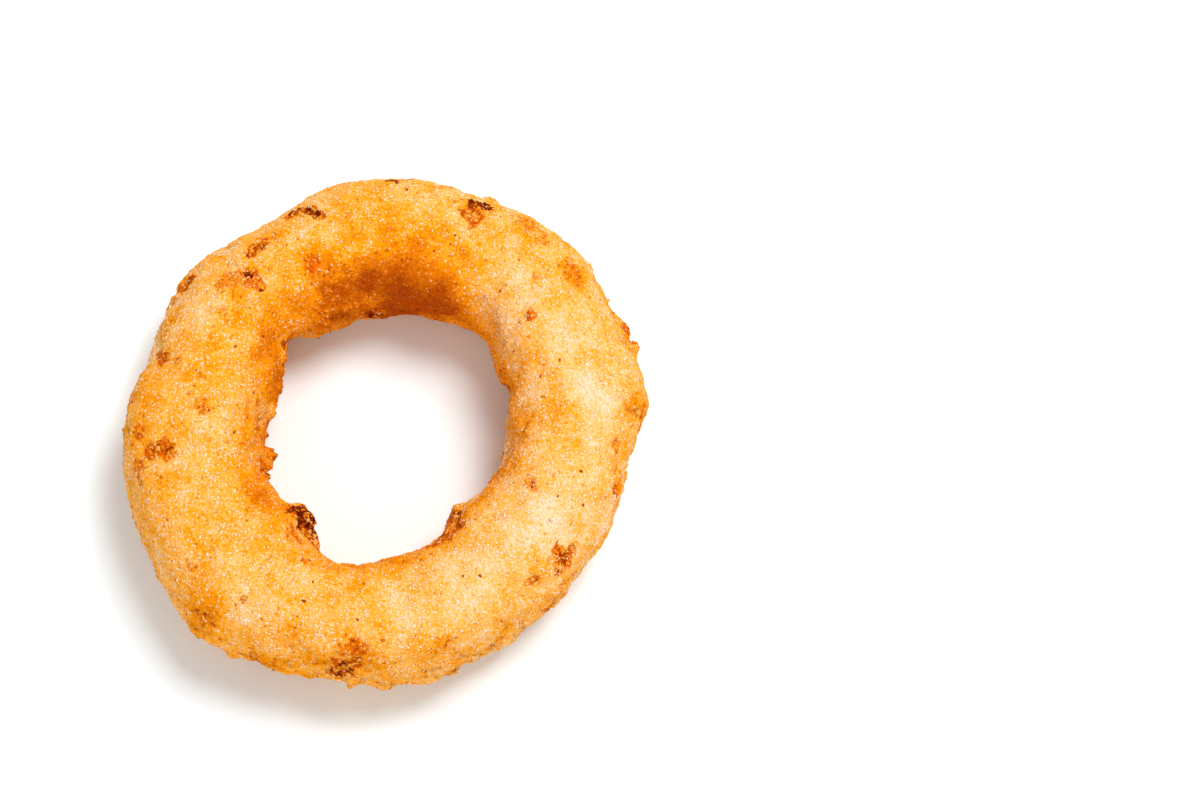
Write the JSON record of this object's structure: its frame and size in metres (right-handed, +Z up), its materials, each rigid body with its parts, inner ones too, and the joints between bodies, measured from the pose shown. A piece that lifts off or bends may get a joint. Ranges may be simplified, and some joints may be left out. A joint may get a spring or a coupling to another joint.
{
  "type": "onion ring",
  "caption": "Thick fried onion ring with a lumpy golden crumb crust, torn brown crags and an uneven round hole, lying flat on its underside.",
  "frame": {"origin": "middle of the underside of the ring's bounding box, on the surface that the ring lies on", "axes": "+Z up through the hole, across the flat of the ring; +X to the right and +Y away from the viewer when the ring is seen as in the picture"},
  "size_m": [0.0724, 0.072, 0.0198],
  "materials": {
    "crust": "dry golden crumb coating, grainy and matt with small oily glints, orange in the hollows, cream on the lit grains and dark brown where it has burst"
  },
  "bodies": {
    "root": {"onion_ring": "crust"}
  },
  "joints": []
}
